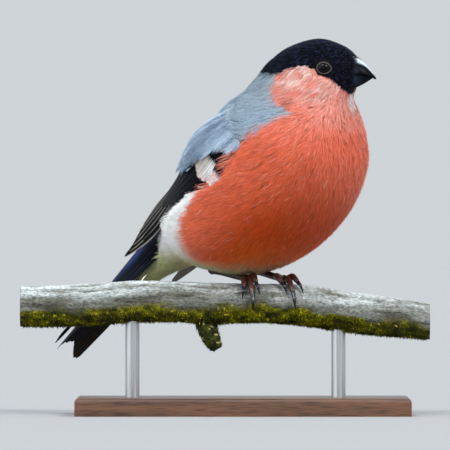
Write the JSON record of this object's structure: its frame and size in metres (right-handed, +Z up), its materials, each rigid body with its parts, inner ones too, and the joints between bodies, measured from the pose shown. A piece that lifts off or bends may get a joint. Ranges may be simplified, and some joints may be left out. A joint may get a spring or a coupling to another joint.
{
  "type": "perched bullfinch bird display model",
  "caption": "Life-size male bullfinch, fluffed up and perched on a cut length of branch, on a flat wooden base with short steel rods.",
  "frame": {"origin": "on the floor, under the middle of the whole display's bounding box", "axes": "+X along the branch, to the right in the picture, the way the bird looks; +Y to the back, away from the camera; +Z up"},
  "size_m": [0.1372, 0.0894, 0.126],
  "materials": {
    "breast_plumage": "soft matte feathers, salmon red on the breast, white at the flank and vent",
    "grey_plumage": "soft matte ash grey feathers",
    "black_plumage": "smooth glossy black feathers with a blue sheen",
    "flight_feather": "stiff glossy blue-black feathers with a pale grey wing bar",
    "bill_horn": "satin black horn",
    "eye_gloss": "wet gloss, dark brown iris and black pupil",
    "leg_skin": "scaly dark reddish brown skin",
    "bark": "weathered pale bark with olive green moss below",
    "stand_wood": "satin oiled walnut",
    "stand_steel": "fine brushed steel"
  },
  "bodies": {
    "root": {"trunk": "breast_plumage", "neck": "grey_plumage", "head": "black_plumage", "wing_left": "flight_feather", "wing_right": "flight_feather", "tail": "flight_feather", "bill_upper": "bill_horn", "bill_lower": "bill_horn", "eye_left": "eye_gloss", "eye_right": "eye_gloss", "leg_left": "leg_skin", "leg_right": "leg_skin", "foot_left": "leg_skin", "foot_right": "leg_skin", "perch": "bark", "stand_base": "stand_wood", "stand_rod_left": "stand_steel", "stand_rod_right": "stand_steel"}
  },
  "joints": []
}
